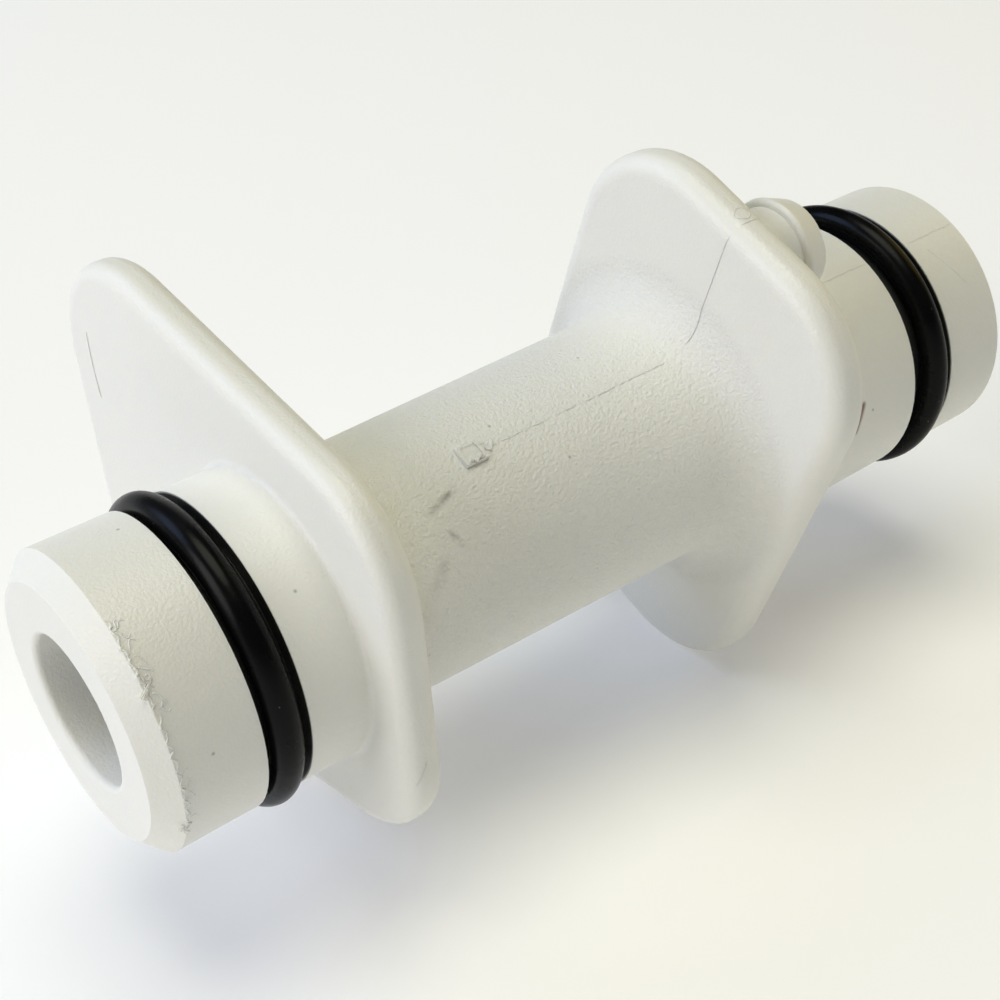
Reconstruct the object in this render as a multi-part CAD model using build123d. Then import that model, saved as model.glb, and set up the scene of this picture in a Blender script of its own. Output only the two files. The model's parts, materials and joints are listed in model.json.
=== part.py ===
from build123d import *
import math
import os

os.makedirs("parts", exist_ok=True)

# Double-ended push-in through fitting: one moulded tube with a plate and a flange, and a sealing ring at each end.
# Frame: +X runs along the tube's axis from the near end face, whose centre is the origin, to the far end.
# +Y runs along the near plate's length and +Z is up. Millimetres and degrees, with angles turning from +Y to +Z.

# Driving dimensions
overall_length = 92.3
spigot_radius = 12.5
bore_radius = 6.25
ring_section = 2.62
parting_angle = 112.4

# Spigot ends: the same at both ends, except for the width of the ring groove
end_chamfer_length = 1.7
end_chamfer_depth = 1.9
mouth_rounding = 0.5
groove_start = 8.5
near_groove_width = 3.8
far_groove_width = 5.2
groove_floor_radius = 10.85
spigot_root_fillet = 0.5

# Near plate: a rounded trapezium, set off centre towards +Y
plate_face = 17.7
plate_thickness = 3.4
plate_reach = 31.9
plate_back_reach = 16.2
plate_wide_half = 22.1
plate_narrow_half = 17.2
plate_wide_corner = 12.0
plate_narrow_corner = 10.1
plate_rim_rounding = 1.4
plate_root_fillet = 1.2

# Far flange: a rounded oblong centred on the tube, its length along the parting plane
flange_inner_face = 57.8
flange_thickness = 4.1
flange_half_length = 24.3
flange_half_width = 16.6
flange_corner = 10.9
flange_rim_rounding = 1.7
flange_root_fillet = 4.0

# Barrel between the two, slightly larger towards the far flange
barrel_near_radius = 10.85
barrel_far_radius = 11.5

# Headed stud on the far flange's outer face, close to the parting plane
stud_offset = 17.9
stud_angle = 110.0
stud_neck_radius = 4.2
stud_head_radius = 5.0
stud_end_radius = 4.0
stud_tip_radius = 2.2
stud_neck_length = 3.3
stud_head_length = 2.9
stud_tip_length = 0.7
stud_rim_rounding = 0.4
stud_end_rounding = 0.9
stud_embed = 1.0

# Gate vestige: a low square pad on the barrel, close to the parting plane
gate_centre = 33.4
gate_angle = 116.0
gate_side = 1.7
gate_height = 0.25
gate_embed = 1.0

# A ring's inner side is pressed flat on the groove floor
ring_seat_half_width = 0.75

plate_back = plate_face + plate_thickness
flange_outer_face = flange_inner_face + flange_thickness
ring_position = groove_start + near_groove_width / 2
ring_circle_radius = groove_floor_radius + math.sqrt((ring_section / 2) ** 2 - ring_seat_half_width**2)


def tangent_angle(first, second):
    # Angle of the outward normal of the line that touches both circles, going counter-clockwise
    step_y = second[0] - first[0]
    step_z = second[1] - first[1]
    distance = math.hypot(step_y, step_z)
    heading = math.degrees(math.atan2(step_z, step_y))
    return heading - math.degrees(math.acos((first[2] - second[2]) / distance))


def wrapped_face(corners):
    # Face square to +X whose outline is a belt round the corner circles, given counter-clockwise
    count = len(corners)
    normals = [tangent_angle(corners[i], corners[(i + 1) % count]) for i in range(count)]
    edges = []
    for i in range(count):
        centre_y, centre_z, radius = corners[i]
        next_y, next_z, next_radius = corners[(i + 1) % count]
        arrival = normals[i - 1]
        departure = normals[i]
        edges.append(CenterArc((centre_y, centre_z), radius, arrival, (departure - arrival) % 360))
        reach = Vector(math.cos(math.radians(departure)), math.sin(math.radians(departure)))
        leave = Vector(centre_y, centre_z) + reach * radius
        land = Vector(next_y, next_z) + reach * next_radius
        edges.append(Line(leave, land))
    return make_face(edges)


def rounded_slab(face, start, thickness, rounding):
    # Plate of the given face, with both rim edges rounded
    slab = extrude(Plane.YZ.offset(start) * face, thickness)
    rims = slab.edges().filter_by(lambda edge: edge.bounding_box().size.X < thickness / 2)
    return fillet(rims, rounding)


def near_plate():
    wide_y = plate_reach - plate_wide_corner
    wide_z = plate_wide_half - plate_wide_corner
    narrow_y = plate_narrow_corner - plate_back_reach
    narrow_z = plate_narrow_half - plate_narrow_corner
    corners = [
        (wide_y, -wide_z, plate_wide_corner),
        (wide_y, wide_z, plate_wide_corner),
        (narrow_y, narrow_z, plate_narrow_corner),
        (narrow_y, -narrow_z, plate_narrow_corner),
    ]
    return rounded_slab(wrapped_face(corners), plate_face, plate_thickness, plate_rim_rounding)


def far_flange():
    along = flange_half_length - flange_corner
    across = flange_half_width - flange_corner
    corners = [(along, -across), (along, across), (-along, across), (-along, -across)]
    face = Rot(0, 0, parting_angle) * wrapped_face([(y, z, flange_corner) for y, z in corners])
    return rounded_slab(face, flange_inner_face, flange_thickness, flange_rim_rounding)


def turned(points, start=0.0):
    # Solid turned about +X from a half outline of (position, radius) points
    with_start = [(position + start, radius) for position, radius in points]
    return revolve(make_face(Polyline(*with_start, close=True)), Axis.X, 360)


def barrel():
    middle_of_plate = plate_face + plate_thickness / 2
    middle_of_flange = flange_inner_face + flange_thickness / 2
    points = [
        (middle_of_plate, 0),
        (middle_of_plate, barrel_near_radius),
        (plate_back, barrel_near_radius),
        (flange_inner_face, barrel_far_radius),
        (middle_of_flange, barrel_far_radius),
        (middle_of_flange, 0),
    ]
    return turned(points)


def spigot(length, groove_width):
    # Spigot from an end face at x = 0 up to its root, with the end chamfer and the ring groove
    groove_end = groove_start + groove_width
    points = [
        (0, 0),
        (0, spigot_radius - end_chamfer_depth),
        (end_chamfer_length, spigot_radius),
        (groove_start, spigot_radius),
        (groove_start, groove_floor_radius),
        (groove_end, groove_floor_radius),
        (groove_end, spigot_radius),
        (length, spigot_radius),
        (length, 0),
    ]
    return turned(points)


def circle_edges(shape, position, radius):
    # The circular edges about the tube's axis with this position and radius
    found = []
    for edge in shape.edges().filter_by(GeomType.CIRCLE):
        centre = edge.arc_center
        if abs(centre.X - position) < 0.01 and abs(edge.radius - radius) < 0.01:
            if math.hypot(centre.Y, centre.Z) < 0.01:
                found.append(edge)
    return found


def stud():
    # Neck under a slightly tapered head with a low tip
    neck_end = stud_neck_length
    head_end = neck_end + stud_head_length
    tip_end = head_end + stud_tip_length
    points = [
        (-stud_embed, 0),
        (-stud_embed, stud_neck_radius),
        (neck_end, stud_neck_radius),
        (neck_end, stud_head_radius),
        (head_end, stud_end_radius),
        (tip_end, stud_tip_radius),
        (tip_end, 0),
    ]
    headed = turned(points, flange_outer_face)
    headed = fillet(circle_edges(headed, flange_outer_face + neck_end, stud_head_radius), stud_rim_rounding)
    headed = fillet(circle_edges(headed, flange_outer_face + head_end, stud_end_radius), stud_end_rounding)
    centre_y = stud_offset * math.cos(math.radians(stud_angle))
    centre_z = stud_offset * math.sin(math.radians(stud_angle))
    return Pos(0, centre_y, centre_z) * headed


def gate_vestige():
    barrel_slope = (barrel_far_radius - barrel_near_radius) / (flange_inner_face - plate_back)
    surface_radius = barrel_near_radius + (gate_centre - plate_back) * barrel_slope
    height = gate_height + gate_embed
    pad = Box(gate_side, height, gate_side)
    place = Pos(gate_centre, surface_radius + gate_height - height / 2, 0)
    return Rot(gate_angle, 0, 0) * (place * pad)


def fitting_body():
    core = near_plate() + far_flange() + barrel()
    core = fillet(circle_edges(core, flange_inner_face, barrel_far_radius), flange_root_fillet)
    core = fillet(circle_edges(core, plate_back, barrel_near_radius), plate_root_fillet)
    near_length = plate_face + plate_thickness / 2
    far_length = overall_length - flange_outer_face + flange_thickness / 2
    near_spigot = spigot(near_length, near_groove_width)
    far_spigot = Pos(overall_length, 0, 0) * (Rot(0, 180, 0) * spigot(far_length, far_groove_width))
    body = core + near_spigot + far_spigot
    body = fillet(circle_edges(body, plate_face, spigot_radius), spigot_root_fillet)
    body = fillet(circle_edges(body, flange_outer_face, spigot_radius), spigot_root_fillet)
    body = body + stud() + gate_vestige()
    bore = turned([(0, 0), (0, bore_radius), (overall_length, bore_radius), (overall_length, 0)])
    body = body - bore
    mouths = circle_edges(body, 0, bore_radius) + circle_edges(body, overall_length, bore_radius)
    return fillet(mouths, mouth_rounding)


def ring(position):
    # Round cord ring, trimmed flat where it is pressed on the groove floor
    section = Pos(position, ring_circle_radius) * Circle(ring_section / 2)
    cord = revolve(section, Axis.X, 360)
    floor = turned([
        (position - ring_section, 0),
        (position - ring_section, groove_floor_radius),
        (position + ring_section, groove_floor_radius),
        (position + ring_section, 0),
    ])
    return cord - floor


pieces = {
    "fitting_body": fitting_body(),
    "near_sealing_ring": ring(ring_position),
    "far_sealing_ring": ring(overall_length - ring_position),
}
for name, shape in pieces.items():
    print(name, round(shape.volume, 1), "mm3, valid", shape.is_valid)
    export_step(shape, f"parts/{name}.step")
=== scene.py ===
import bpy
import json
import math
import random
from mathutils import Matrix, Vector


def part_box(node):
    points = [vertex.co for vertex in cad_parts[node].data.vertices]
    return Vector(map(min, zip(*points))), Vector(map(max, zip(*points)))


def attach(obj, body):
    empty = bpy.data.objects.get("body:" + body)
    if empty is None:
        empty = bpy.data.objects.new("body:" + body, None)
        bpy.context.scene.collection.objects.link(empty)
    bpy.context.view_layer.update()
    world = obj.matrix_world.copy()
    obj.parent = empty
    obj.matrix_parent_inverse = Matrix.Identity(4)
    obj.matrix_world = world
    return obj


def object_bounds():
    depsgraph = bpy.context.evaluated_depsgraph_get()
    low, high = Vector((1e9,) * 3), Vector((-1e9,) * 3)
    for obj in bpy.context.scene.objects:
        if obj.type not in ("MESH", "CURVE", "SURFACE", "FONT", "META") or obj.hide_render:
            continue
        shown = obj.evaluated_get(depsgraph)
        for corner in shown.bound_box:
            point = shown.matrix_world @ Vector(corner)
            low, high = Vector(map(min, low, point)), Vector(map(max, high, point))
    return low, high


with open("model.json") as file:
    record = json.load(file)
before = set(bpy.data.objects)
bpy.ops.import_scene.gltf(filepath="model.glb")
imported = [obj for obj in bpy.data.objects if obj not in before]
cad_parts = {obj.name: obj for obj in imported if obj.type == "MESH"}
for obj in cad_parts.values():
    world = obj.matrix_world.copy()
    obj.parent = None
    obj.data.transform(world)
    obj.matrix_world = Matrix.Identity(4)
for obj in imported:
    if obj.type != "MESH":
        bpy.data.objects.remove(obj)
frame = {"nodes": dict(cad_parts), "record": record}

cadLow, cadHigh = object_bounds()
mm = 0.001

# Sizes and places from the frame
mounts = {m["name"]: m for m in frame["record"]["mounts"]}
spigotRadius = mounts["near_spigot"]["dims"]["r_mm"] * mm
plateFace = mounts["near_plate_face"]["pos_m"][0]
flangeOuterFace = mounts["headed_stud"]["pos_m"][0]
ringBoxes = [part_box("near_sealing_ring"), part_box("far_sealing_ring")]
ringMiddles = [(low[0] + high[0]) / 2 for low, high in ringBoxes]
moulding = frame["nodes"]["fitting_body"]


def deselectAll():
    bpy.ops.object.select_all(action="DESELECT")


# View, floor and light
cameraView = {
    "place": (-29.724 * mm, -97.703 * mm, 82.161 * mm),
    "right": (0.75274, -0.65789, -0.02372),
    "up": (0.40053, 0.42909, 0.8096),
    "lens": 60.9,
    "sensor": 36,
    "shift": (-0.12, 0.04),
    "nearest": 0.005,
    "farthest": 10,
}


def makeCamera():
    data = bpy.data.cameras.new("viewCamera")
    data.lens = cameraView["lens"]
    data.sensor_width = cameraView["sensor"]
    data.shift_x, data.shift_y = cameraView["shift"]
    data.clip_start = cameraView["nearest"]
    data.clip_end = cameraView["farthest"]
    right = Vector(cameraView["right"]).normalized()
    back = right.cross(Vector(cameraView["up"])).normalized()
    up = back.cross(right)
    turn = Matrix((right, up, back)).transposed().to_4x4()
    camera = bpy.data.objects.new("viewCamera", data)
    bpy.context.scene.collection.objects.link(camera)
    camera.matrix_world = Matrix.Translation(cameraView["place"]) @ turn
    bpy.context.scene.camera = camera


def plainPaint(name, look):
    # Matt paint that glows a little
    paint = bpy.data.materials.new(name)
    paint.use_nodes = True
    shader = paint.node_tree.nodes["Principled BSDF"]
    shader.inputs["Base Color"].default_value = look["colour"]
    shader.inputs["Roughness"].default_value = look["roughness"]
    shader.inputs["Emission Color"].default_value = (1, 1, 1, 1)
    shader.inputs["Emission Strength"].default_value = look["glow"]
    return paint


floorLook = {
    "halfSize": 3.0,
    "colour": (0.8, 0.8, 0.8, 1),
    "glow": 0.2,
    "roughness": 0.9,
}


def makeFloor():
    deselectAll()
    bpy.ops.mesh.primitive_plane_add(size=2 * floorLook["halfSize"], location=(0, 0, cadLow[2]))
    floor = bpy.context.object
    floor.name = "paleFloor"
    floor.data.materials.append(plainPaint("floorPaint", floorLook))


# A low wall far round the floor, so that a level view doesn't end in black
wallLook = {
    "radius": 3.0,
    "height": 0.6,
    "sides": 96,
    "colour": (0.4, 0.4, 0.4, 1),
    "glow": 0.35,
    "roughness": 0.9,
}


def makeWall():
    deselectAll()
    bpy.ops.mesh.primitive_cylinder_add(vertices=wallLook["sides"], radius=wallLook["radius"],
                                        depth=wallLook["height"], end_fill_type="NOTHING",
                                        location=(0, 0, cadLow[2] + wallLook["height"] / 2))
    wall = bpy.context.object
    wall.name = "paleWall"
    bpy.ops.object.mode_set(mode="EDIT")
    bpy.ops.mesh.select_all(action="SELECT")
    bpy.ops.mesh.flip_normals()
    bpy.ops.object.mode_set(mode="OBJECT")
    bpy.ops.object.shade_smooth()
    wall.data.materials.append(plainPaint("palePaint", wallLook))


lights = {
    # name: (place, width, power, colour)
    "windowLight": ((-0.9, 0.1, 0.5), 0.7, 5.4, (1.0, 0.97, 0.94)),
    "ceilingLight": ((0.05, 0.0, 1.2), 0.9, 8.8, (1.0, 1.0, 0.86)),
    "doorLight": ((1.1, 0.0, 0.6), 0.7, 1.5, (1.0, 0.75, 0.05)),
    "skyLight": ((-0.6, 0.8, 0.7), 0.7, 4.7, (0.47, 0.63, 1.0)),
}
lightAim = Vector((0.04, 0, 0))


def makeLights():
    for name, (place, width, power, colour) in lights.items():
        data = bpy.data.lights.new(name, "AREA")
        data.shape = "DISK"
        data.size = width
        data.energy = power
        data.color = colour
        light = bpy.data.objects.new(name, data)
        bpy.context.scene.collection.objects.link(light)
        light.location = place
        light.rotation_euler = (Vector(place) - lightAim).to_track_quat("Z", "Y").to_euler()
    room = bpy.data.worlds.new("dimRoom")
    room.use_nodes = True
    room.node_tree.nodes["Background"].inputs["Strength"].default_value = 0.0
    bpy.context.scene.world = room
    bpy.context.scene.view_settings.view_transform = "Standard"    # plain colours


# Helpers for building materials
def nodeMaker(material):
    nodes = material.node_tree.nodes
    links = material.node_tree.links

    def add(kind, values=None, **settings):
        node = nodes.new(kind)
        for name, value in settings.items():
            setattr(node, name, value)
        for name, value in (values or {}).items():
            if isinstance(value, bpy.types.NodeSocket):
                links.new(value, node.inputs[name])
            else:
                node.inputs[name].default_value = value
        return node
    return add


def rampMask(add, value, low, high, top=1.0):
    # 0 at low and top at high, with soft ends
    node = add("ShaderNodeMapRange", {"Value": value, "From Min": low, "From Max": high, "To Max": top},
               interpolation_type="SMOOTHSTEP")
    return node.outputs["Result"]


def times(add, first, second):
    return add("ShaderNodeMath", {0: first, 1: second}, operation="MULTIPLY").outputs[0]


def noise(add, place, scale, detail, **more):
    values = {"Vector": place, "Scale": scale, "Detail": detail}
    return add("ShaderNodeTexNoise", {**values, **more}).outputs["Fac"]


def roughnessFrom(add, pattern, smooth, rough):
    node = add("ShaderNodeMapRange", {"Value": pattern, "From Min": 0.3, "From Max": 0.7,
                                      "To Min": smooth, "To Max": rough})
    return node.outputs["Result"]


def strokeMask(add, place, start, end, width, top=1.0):
    # top on the line from start to end, fading to 0 at width from it, in millimetres
    start, end = Vector(start) * mm, Vector(end) * mm
    along = end - start
    fromStart = add("ShaderNodeVectorMath", {0: place, 1: start}, operation="SUBTRACT").outputs[0]
    perLength = along / max(along.length_squared, 1e-12)    # stays whole for a stroke with no length
    share = add("ShaderNodeVectorMath", {0: fromStart, 1: perLength}, operation="DOT_PRODUCT")
    share = add("ShaderNodeClamp", {"Value": share.outputs["Value"]}).outputs[0]
    nearest = add("ShaderNodeVectorMath", {0: along, "Scale": share}, operation="SCALE").outputs[0]
    gap = add("ShaderNodeVectorMath", {0: fromStart, 1: nearest}, operation="DISTANCE").outputs["Value"]
    return rampMask(add, gap, width * mm, 0.0, top)


def mixColour(add, share, first, second):
    node = add("ShaderNodeMix", data_type="RGBA")
    links = node.id_data.links
    for index, value in ((0, share), (6, first), (7, second)):    # factor and the two colours
        if isinstance(value, bpy.types.NodeSocket):
            links.new(value, node.inputs[index])
        else:
            node.inputs[index].default_value = value
    return node.outputs[2]


plasticLook = {
    "colour": (0.79, 0.78, 0.725, 1),
    "paleColour": (0.83, 0.825, 0.78, 1),
    # painted warm shade beside the near plate and past the far flange
    "agedColour": (0.60, 0.56, 0.40, 1),
    "dirtColour": (0.10, 0.085, 0.06, 1),
    "rustColour": (0.16, 0.035, 0.015, 1),
    # painted shade for the rings' grooves
    "grooveColour": (0.004, 0.004, 0.004, 1),
    "cloudScale": 60.0,              # patterns per metre
    "smearScale": 900.0,
    "fineGrain": 3900,
    "coarseGrain": 3200,
    "fineHeight": 0.10 * mm,
    "fineStrength": 0.5,
    "coarseHeight": 0.18 * mm,
    "smoother": 0.07,                # either side of the roughness
    "rougher": 0.08,
    "lightInside": 0.2,
    "lightReach": (1.0, 0.85, 0.6),
    "lightDepth": 0.7 * mm,
}
coarseZone = {
    "pastPlate": (2.6 * mm, 4.0 * mm),
    "beforeFlange": (2.6 * mm, 3.9 * mm),
    "spread": (17.0 * mm, 15.2 * mm),
}
# Where the painted groove shade lies
grooveShadeZone = {
    "halfWidths": (2.1 * mm, 2.8 * mm),
    "edge": 0.1 * mm,
    "inner": (9 * mm, 10 * mm),
    "depth": 0.25 * mm,
    "strength": 0.97,
}

# (start, end, width, strength) of each mark, in millimetres
# Painted warm shade on the barrel beside the near plate, and past the far flange
warmShadeMarks = [
    ((23.0, -6.0, 9.2), (22.5, -10.6, 3.0), 4.0, 0.55),
    ((22.5, -1.5, 10.8), (22.5, -6.0, 9.2), 4.5, 0.45),
    ((66.0, -8.5, 9.2), (70.0, -9.5, 8.2), 5.0, 0.15),
]
dirtMarks = [
    ((27.4, -7.4, 8.3), (30.5, -6.5, 8.9), 0.5, 0.34),
    ((29.2, -7.0, 8.6), (30.2, -6.6, 8.9), 0.30, 0.55),
    ((28.6, -8.6, 6.8), (29.0, -9.4, 6.0), 0.50, 0.42),
    ((27.0, -9.6, 5.2), (25.5, -10.5, 3.6), 0.8, 0.18),
]
rustMark = ((71.6, -12.36, 1.9), (70.6, -12.5, -0.6), 0.45, 0.9)
specks = [
    (45.2, -10.05, 4.7), (48.0, -0.84, 11.35), (24.0, -10.9, -1.5), (72.8, -12.47, 0.9),
    (6.9, 1.5, 12.4), (4.6, -12.4, 1.55), (67.97, -11.24, 5.47), (36.6, -3.4, 10.6),
    (41.0, -8.0, 7.9), (11.9, -12.3, -2.2), (59.9, -20.0, 7.0), (14.6, -9.0, 8.7),
]
speckWidth = 0.22
speckStrength = 0.6


def coarseShare(add, along, spread):
    # The barrel and its root at the flange are the coarse part of the mould
    pastLow, pastHigh = coarseZone["pastPlate"]
    fromPlate = rampMask(add, along, plateFace + pastLow, plateFace + pastHigh)
    nearSide, farSide = coarseZone["beforeFlange"]
    toFlange = rampMask(add, along, flangeOuterFace - nearSide, flangeOuterFace - farSide)
    onBarrel = rampMask(add, spread, *coarseZone["spread"])
    return times(add, times(add, fromPlate, toFlange), onBarrel)


def paintedGrooveShade(add, tint, along, spread):
    # Painted shade: the rings' grooves are coloured near black where they lie in shadow
    inGrooveShade = times(add, rampMask(add, spread, spigotRadius, spigotRadius - grooveShadeZone["depth"]),
                     rampMask(add, spread, *grooveShadeZone["inner"]))
    for middle, half in zip(ringMiddles, grooveShadeZone["halfWidths"]):
        gap = add("ShaderNodeMath", {0: along, 1: middle}, operation="SUBTRACT").outputs[0]
        gap = add("ShaderNodeMath", {0: gap}, operation="ABSOLUTE").outputs[0]
        share = rampMask(add, gap, half + grooveShadeZone["edge"], half, grooveShadeZone["strength"])
        tint = mixColour(add, times(add, share, inGrooveShade), tint, plasticLook["grooveColour"])
    return tint


def warmShadeAndDirt(add, tint, place, blotchNoise):
    # Painted warm shade first, then real dirt, specks and rust
    for mark in warmShadeMarks:
        share = times(add, strokeMask(add, place, *mark), blotchNoise)
        tint = mixColour(add, share, tint, plasticLook["agedColour"])
    patchy = rampMask(add, blotchNoise, 0.25, 0.55)
    for mark in dirtMarks:
        share = times(add, strokeMask(add, place, *mark), patchy)
        tint = mixColour(add, share, tint, plasticLook["dirtColour"])
    for spot in specks:
        share = strokeMask(add, place, spot, spot, speckWidth, speckStrength)
        tint = mixColour(add, share, tint, plasticLook["dirtColour"])
    return mixColour(add, strokeMask(add, place, *rustMark), tint, plasticLook["rustColour"])


def mouldedPlastic(name, darker=0.0, roughness=0.42, withShadeAndDirt=True):
    material = bpy.data.materials.new(name)
    material.use_nodes = True
    add = nodeMaker(material)
    shader = material.node_tree.nodes["Principled BSDF"]
    links = material.node_tree.links
    place = add("ShaderNodeTexCoord").outputs["Object"]
    cloud = noise(add, place, plasticLook["cloudScale"], 3.0)
    grain = noise(add, place, plasticLook["fineGrain"], 2.0)
    coarse = noise(add, place, plasticLook["coarseGrain"], 3.0, Roughness=0.6)
    blotchNoise = noise(add, place, plasticLook["smearScale"], 4.0)
    split = add("ShaderNodeSeparateXYZ", {"Vector": place})
    along = split.outputs["X"]
    flat = add("ShaderNodeCombineXYZ", {"Y": split.outputs["Y"], "Z": split.outputs["Z"]}).outputs[0]
    spread = add("ShaderNodeVectorMath", {0: flat}, operation="LENGTH").outputs["Value"]
    tint = mixColour(add, cloud, plasticLook["colour"], plasticLook["paleColour"])
    if darker:
        tint = mixColour(add, darker, tint, plasticLook["dirtColour"])
    # Painted shade in the rings' grooves
    tint = paintedGrooveShade(add, tint, along, spread)
    # Painted warm shade, then dirt, specks and rust
    if withShadeAndDirt:
        tint = warmShadeAndDirt(add, tint, place, blotchNoise)
    rough = roughnessFrom(add, grain, roughness - plasticLook["smoother"], roughness + plasticLook["rougher"])
    fine = add("ShaderNodeBump", {"Height": grain, "Strength": plasticLook["fineStrength"],
                                  "Distance": plasticLook["fineHeight"]})
    spark = add("ShaderNodeBump", {"Height": coarse, "Strength": coarseShare(add, along, spread),
                                   "Normal": fine.outputs[0], "Distance": plasticLook["coarseHeight"]})
    links.new(tint, shader.inputs["Base Color"])
    links.new(rough, shader.inputs["Roughness"])
    links.new(spark.outputs["Normal"], shader.inputs["Normal"])
    shader.inputs["Subsurface Weight"].default_value = plasticLook["lightInside"]
    shader.inputs["Subsurface Radius"].default_value = plasticLook["lightReach"]
    shader.inputs["Subsurface Scale"].default_value = plasticLook["lightDepth"]
    return material


rubberLook = {
    "colour": (0.0015, 0.0015, 0.0018, 1),
    "dustColour": (0.006, 0.006, 0.0065, 1),
    "lintColour": (0.12, 0.11, 0.09, 1),
    "smearScale": 220.0,
    "lintScale": 1500.0,
    "lintSize": (0.77, 0.82),
    "roughness": (0.2, 0.36),
    "grainScale": 3000.0,
    "grainHeight": 0.01 * mm,
    "grainStrength": 0.3,
    "shine": 0.09,
}


def ringRubber():
    material = bpy.data.materials.new("blackRubber")
    material.use_nodes = True
    add = nodeMaker(material)
    shader = material.node_tree.nodes["Principled BSDF"]
    links = material.node_tree.links
    place = add("ShaderNodeTexCoord").outputs["Object"]
    blotchNoise = noise(add, place, rubberLook["smearScale"], 4.0)
    lint = noise(add, place, rubberLook["lintScale"], 1.0)
    tint = mixColour(add, blotchNoise, rubberLook["colour"], rubberLook["dustColour"])
    tint = mixColour(add, rampMask(add, lint, *rubberLook["lintSize"]), tint, rubberLook["lintColour"])
    fine = noise(add, place, rubberLook["grainScale"], 2.0)
    bump = add("ShaderNodeBump", {"Height": fine, "Strength": rubberLook["grainStrength"],
                                  "Distance": rubberLook["grainHeight"]})
    links.new(tint, shader.inputs["Base Color"])
    links.new(roughnessFrom(add, blotchNoise, *rubberLook["roughness"]), shader.inputs["Roughness"])
    links.new(bump.outputs["Normal"], shader.inputs["Normal"])
    shader.inputs["Specular IOR Level"].default_value = rubberLook["shine"]
    return material


def paintNode(name, material):
    mesh = frame["nodes"][name].data
    for index in range(len(mesh.materials)):
        mesh.materials[index] = material


plastic = mouldedPlastic("offWhitePlastic")
seamPlastic = mouldedPlastic("seamPlastic", darker=0.18, withShadeAndDirt=False)
faintPlastic = mouldedPlastic("faintSeamPlastic", darker=0.06, withShadeAndDirt=False)
burrPlastic = mouldedPlastic("burrPlastic", roughness=0.3, withShadeAndDirt=False)
rubber = ringRubber()
paintNode("fitting_body", plastic)
paintNode("near_sealing_ring", rubber)
paintNode("far_sealing_ring", rubber)
print("materials ready")


# Places on the moulding's own surface, given in millimetres and degrees
outside = 40    # well clear of the tube's axis, and between the plate and the flange along it


def castOn(start, direction):
    hit, place, normal, face = moulding.ray_cast(Vector(start), Vector(direction))
    if not hit:
        raise RuntimeError(f"no surface below {start}")
    return place, normal


def onTube(x, degrees):
    # The surface met on the way in to the tube's axis
    outward = Vector((0, math.cos(math.radians(degrees)), math.sin(math.radians(degrees))))
    return castOn(Vector((x * mm, 0, 0)) + outward * outside * mm, -outward)


def onFace(x, y, z):
    # The surface met by going along +X from x
    return castOn((x * mm, y * mm, z * mm), (1, 0, 0))


def onFlange(spread, degrees):
    angle = math.radians(degrees)
    return onFace(outside, spread * math.cos(angle), spread * math.sin(angle))


def steps(first, last, count):
    return [first + (last - first) * i / (count - 1) for i in range(count)]


# Small marks of moulding and trimming, laid on the fitting
def finishPiece(piece, name, material):
    piece.name = name
    piece.data.materials.clear()
    piece.data.materials.append(material)
    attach(piece, "root")


def makeBead(name, marks, width, material, lift=0.0, unevenness=0.25, seed=1):
    # A fine raised line through the marks, half sunk in the surface
    chance = random.Random(seed)
    deselectAll()
    bpy.ops.curve.primitive_nurbs_path_add(location=(0, 0, 0))
    bead = bpy.context.object
    curve = bead.data
    curve.splines.clear()
    line = curve.splines.new("POLY")
    line.points.add(len(marks) - 1)
    last = len(marks) - 1
    for index, (place, normal) in enumerate(marks):
        raised = place + normal * lift * mm
        line.points[index].co = (*raised, 1)
        taper = 0.25 if index in (0, last) else 1.0
        line.points[index].radius = taper * (1 + chance.uniform(-unevenness, unevenness))
    curve.bevel_depth = width / 2 * mm
    curve.bevel_resolution = 2
    curve.use_fill_caps = True
    bpy.ops.object.convert(target="MESH")
    bead = bpy.context.object
    bpy.ops.object.mode_set(mode="EDIT")
    bpy.ops.mesh.select_all(action="SELECT")
    bpy.ops.mesh.normals_make_consistent(inside=False)
    bpy.ops.object.mode_set(mode="OBJECT")
    bpy.ops.object.shade_smooth()
    finishPiece(bead, name, material)


partingLine = {
    "tubeAngle": 116.6,
    "flangeAngle": 111.6,
    # (first, last, marks) along the tube, or outwards on the flange
    "barrel": (35.4, 54.0, 60),
    "flange": (12.3, 23.6, 26),
    "rim": (58.9, 61.2, 8),
    "farInner": (70.4, 78.3, 20),
    "farOuter": (84.1, 90.3, 16),
    "barrelWander": 0.22,
    "farWander": 0.15,
    "bendStart": 15.0,      # where the flange's line starts to turn towards the barrel's
    "bendLength": 2.7,
    "bend": 3.6,
}


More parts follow.
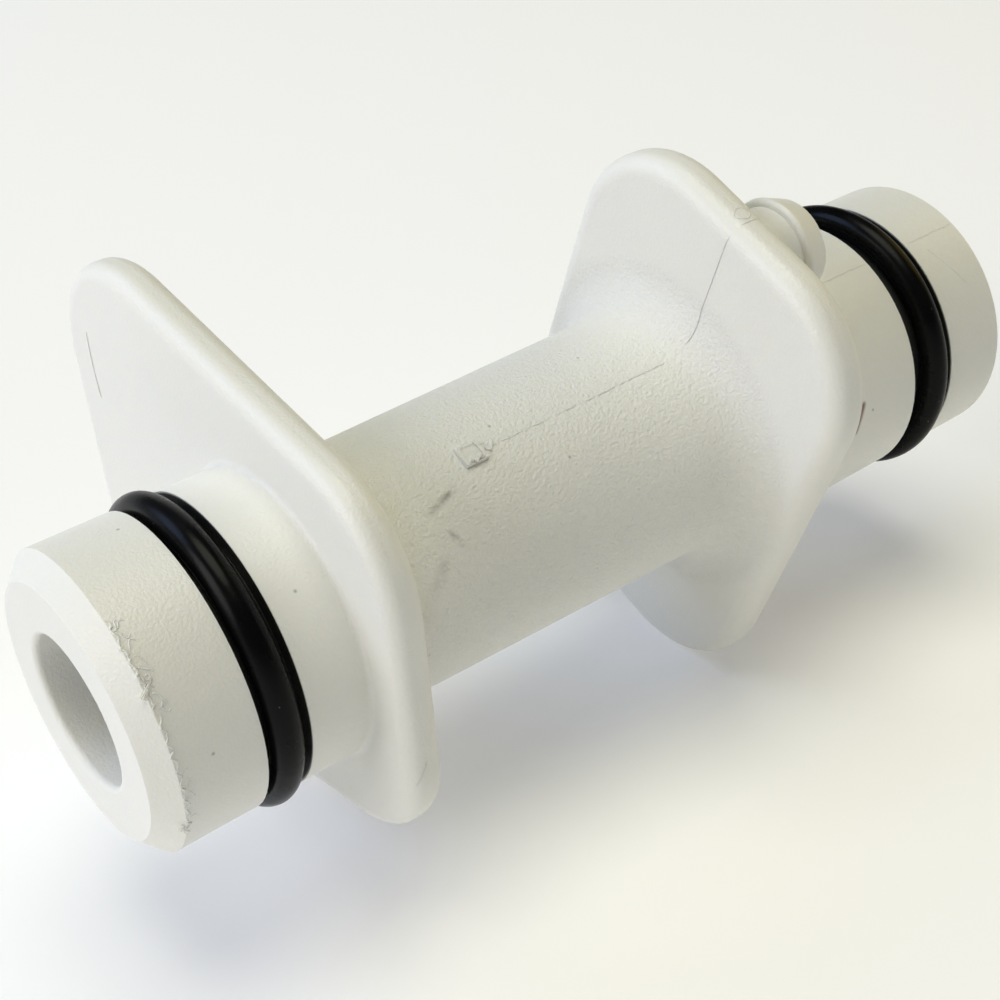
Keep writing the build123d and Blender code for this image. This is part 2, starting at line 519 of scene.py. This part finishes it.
def makePartingLines():
    chance = random.Random(4)

    def tubeLine(span, wander):
        return [onTube(x, partingLine["tubeAngle"] + chance.uniform(-wander, wander)) for x in steps(*span)]

    barrel = tubeLine(partingLine["barrel"], partingLine["barrelWander"])
    makeBead("barrelPartingLine", barrel, 0.13, faintPlastic, lift=-0.03, unevenness=0.6, seed=2)
    face = []
    for spread in steps(*partingLine["flange"]):
        turned = max(0.0, (partingLine["bendStart"] - spread) / partingLine["bendLength"])
        face.append(onFlange(spread, partingLine["flangeAngle"] + partingLine["bend"] * turned))
    makeBead("flangePartingLine", face, 0.11, seamPlastic, unevenness=0.15, seed=3)
    rim = [onTube(x, partingLine["flangeAngle"]) for x in steps(*partingLine["rim"])]
    makeBead("rimPartingLine", rim, 0.09, plastic, seed=5)
    inner = tubeLine(partingLine["farInner"], partingLine["farWander"])
    makeBead("farPartingLineInner", inner, 0.06, faintPlastic, unevenness=0.4, seed=6)
    outer = tubeLine(partingLine["farOuter"], partingLine["farWander"])
    makeBead("farPartingLineOuter", outer, 0.06, faintPlastic, unevenness=0.4, seed=7)


gateVestige = {
    "x": 33.6,
    "angle": 116.0,
    "length": 2.2,
    "width": 2.0,
    "height": 0.30,
    "border": 0.36,
    "pocket": 0.12,
    "pocketStep": 0.08,
    "unevenness": 0.045,
    "clear": 1.3,           # the barrel's own surface starts this far from the centre
    "tornLift": 0.28,
    "flareStart": 1.2,
    "flareStep": 0.22,
}


def makeGatePad():
    # A low square with a raised border round a shallow pocket
    place, normal = onTube(gateVestige["x"] + gateVestige["clear"], gateVestige["angle"])
    centre = Vector((gateVestige["x"] * mm, place.y, place.z))
    deselectAll()
    bpy.ops.mesh.primitive_cube_add(size=1, location=(0, 0, 0))
    pad = bpy.context.object
    pad.scale = (gateVestige["length"] * mm, gateVestige["width"] * mm, 2 * gateVestige["height"] * mm)
    bpy.ops.object.transform_apply(scale=True)
    bpy.ops.object.mode_set(mode="EDIT")
    bpy.ops.mesh.select_all(action="DESELECT")
    bpy.ops.mesh.select_mode(type="FACE")
    bpy.ops.object.mode_set(mode="OBJECT")
    for face in pad.data.polygons:
        face.select = face.normal.z > 0.5
    bpy.ops.object.mode_set(mode="EDIT")
    bpy.ops.mesh.inset(thickness=gateVestige["border"] * mm)
    bpy.ops.mesh.extrude_region_move(TRANSFORM_OT_translate={"value": (0, 0, -gateVestige["pocket"] * mm)})
    bpy.ops.mesh.inset(thickness=gateVestige["pocketStep"] * mm)
    bpy.ops.mesh.select_all(action="SELECT")
    bpy.ops.mesh.subdivide(number_cuts=4)
    bpy.ops.transform.vertex_random(offset=gateVestige["unevenness"] * mm, seed=3)
    bpy.ops.mesh.vertices_smooth(factor=0.4)
    bpy.ops.object.mode_set(mode="OBJECT")
    bpy.ops.object.shade_smooth_by_angle(angle=math.radians(40))
    across = Vector((0, -normal.z, normal.y))
    turn = Matrix(((1, 0, 0), across, (0, normal.y, normal.z))).transposed().to_4x4()
    pad.matrix_world = Matrix.Translation(centre) @ turn
    bpy.ops.object.transform_apply(location=True, rotation=True, scale=True)
    finishPiece(pad, "gateVestige", plastic)


def makeGate():
    makeGatePad()
    x, angle = gateVestige["x"], gateVestige["angle"]
    torn = [onTube(at, angle + 4.2 - 0.5 * math.sin(i * 1.3))
            for i, at in enumerate(steps(x - 0.8, x + 0.75, 9))]
    makeBead("gateTornEdge", torn, 0.16, seamPlastic, lift=gateVestige["tornLift"], unevenness=0.6, seed=9)
    flare = [onTube(x + gateVestige["flareStart"] + gateVestige["flareStep"] * i,
                    angle + 3.0 * math.sin(i * 0.75) - 1) for i in range(6)]
    makeBead("gateFlare", flare, 0.28, plastic, unevenness=0.4, seed=10)


trimmedEdge = {
    "x": 1.75,
    "span": (118.0, 206.0, 110),    # degrees, and marks on the lip
    "lipOut": 0.12,
    "lipWave": 0.14,
    "lipWander": 0.1,
    "lipWidth": 0.17,
    "curls": 26,
    "denseShare": 0.6,              # the first curls crowd together and are wider
    "denseAngles": (121, 150),
    "denseLengths": (0.4, 1.1),
    "denseWidths": (0.11, 0.2),
    "sparseAngles": (150, 196),
    "sparseLengths": (0.3, 0.9),
    "sparseWidths": (0.06, 0.12),
    "sweep": (1.5, 4.5),
    "bow": (-4.0, 4.0),
    "start": (0.0, 0.5),
    "curlLift": -0.03,
}


def makeCurl(number, chance):
    dense = number - 1 < trimmedEdge["curls"] * trimmedEdge["denseShare"]
    kind = "dense" if dense else "sparse"
    angle = chance.uniform(*trimmedEdge[kind + "Angles"])
    length = chance.uniform(*trimmedEdge[kind + "Lengths"])
    sweep = chance.uniform(*trimmedEdge["sweep"]) * chance.choice((-1, 1))
    bow = chance.uniform(*trimmedEdge["bow"])
    start = trimmedEdge["x"] + chance.uniform(*trimmedEdge["start"])
    marks = [onTube(start + length * t, angle + sweep * t + bow * math.sin(math.pi * t))
             for t in steps(0, 1, 9)]
    width = chance.uniform(*trimmedEdge[kind + "Widths"])
    makeBead(f"edgeCurl{number:02d}", marks, width, burrPlastic, lift=trimmedEdge["curlLift"],
             unevenness=0.35, seed=29 + number)


def makeTrimmedEdge():
    chance = random.Random(21)
    lip = []
    for i, angle in enumerate(steps(*trimmedEdge["span"])):
        wave = trimmedEdge["lipWave"] * math.sin(i * 0.9)
        wave += chance.uniform(-trimmedEdge["lipWander"], trimmedEdge["lipWander"])
        lip.append(onTube(trimmedEdge["x"] + trimmedEdge["lipOut"] + wave, angle))
    makeBead("trimmedEdgeLip", lip, trimmedEdge["lipWidth"], burrPlastic, unevenness=0.55, seed=22)
    for number in range(1, trimmedEdge["curls"] + 1):
        makeCurl(number, chance)


edgeChips = {
    # name: (x, angle, length, width, lean in radians, seed)
    "edgeChipMiddle": (2.0, 143.0, 1.6, 0.55, -0.7, 52),
    "edgeChipLower": (1.6, 201.5, 1.6, 0.55, 1.2, 53),
}
chipShape = {
    "tip": 0.03,
    "flatness": 0.35,
    "unevenness": 0.05,
    "raised": 0.05,
}


def makeChip(name, x, degrees, length, width, lean, seed):
    # A torn sliver that stands a little off the edge
    place, normal = onTube(x, degrees)
    deselectAll()
    bpy.ops.mesh.primitive_cone_add(vertices=5, radius1=width / 2 * mm, radius2=chipShape["tip"] * mm,
                                    depth=length * mm, location=(0, 0, 0))
    chip = bpy.context.object
    chip.scale = (1, chipShape["flatness"], 1)
    bpy.ops.object.transform_apply(scale=True)
    bpy.ops.object.mode_set(mode="EDIT")
    bpy.ops.mesh.select_all(action="SELECT")
    bpy.ops.mesh.subdivide(number_cuts=3)
    bpy.ops.transform.vertex_random(offset=chipShape["unevenness"] * mm, seed=seed)
    bpy.ops.mesh.normals_make_consistent(inside=False)
    bpy.ops.object.mode_set(mode="OBJECT")
    bpy.ops.object.shade_smooth_by_angle(angle=math.radians(35))
    around = Vector((0, -normal.z, normal.y)).normalized()
    out = Vector((1, 0, 0)).cross(around) * -1
    if out.dot(normal) < 0:
        out.negate()
    pointing = (Vector((1, 0, 0)) * math.cos(lean) + around * math.sin(lean)).normalized()
    side = out.cross(pointing)
    turn = Matrix((side, out, pointing)).transposed().to_4x4()
    chip.matrix_world = Matrix.Translation(place + normal * chipShape["raised"] * mm) @ turn
    bpy.ops.object.transform_apply(location=True, rotation=True, scale=True)
    finishPiece(chip, name, burrPlastic)


def makeWitnessMarks():
    # The two edges of a lens-shaped mark on the flange's tip
    for name, side, seed in (("tipMarkLeft", -1, 41), ("tipMarkRight", 1, 42)):
        marks = [onTube(59.0 + 1.9 * t, 109.3 + side * 1.5 * math.sin(math.pi * t)) for t in steps(0, 1, 11)]
        makeBead(name, marks, 0.08, faintPlastic, unevenness=0.1, seed=seed)
    marks = [onFace(5, 27.1 + 0.2 * math.sin(t * 3), 14.2 - 6.6 * t) for t in steps(0, 1, 14)]
    makeBead("plateWitnessLine", marks, 0.16, plastic, unevenness=0.3, seed=43)
    marks = [onTube(85.6 + 2.4 * t, 122 + 22 * t) for t in steps(0, 1, 16)]
    makeBead("farEndScratch", marks, 0.05, faintPlastic, unevenness=0.4, seed=44)
    marks = [onTube(18.3 + 1.1 * t, 207 - 7 * t) for t in steps(0, 1, 8)]
    makeBead("plateTipScratch", marks, 0.12, seamPlastic, unevenness=0.3, seed=46)


makePartingLines()
makeGate()
makeTrimmedEdge()
for chipName, chipValues in edgeChips.items():
    makeChip(chipName, *chipValues)
makeWitnessMarks()
print("moulding marks ready")

makeCamera()
makeFloor()
makeWall()
makeLights()
print("view and light ready")
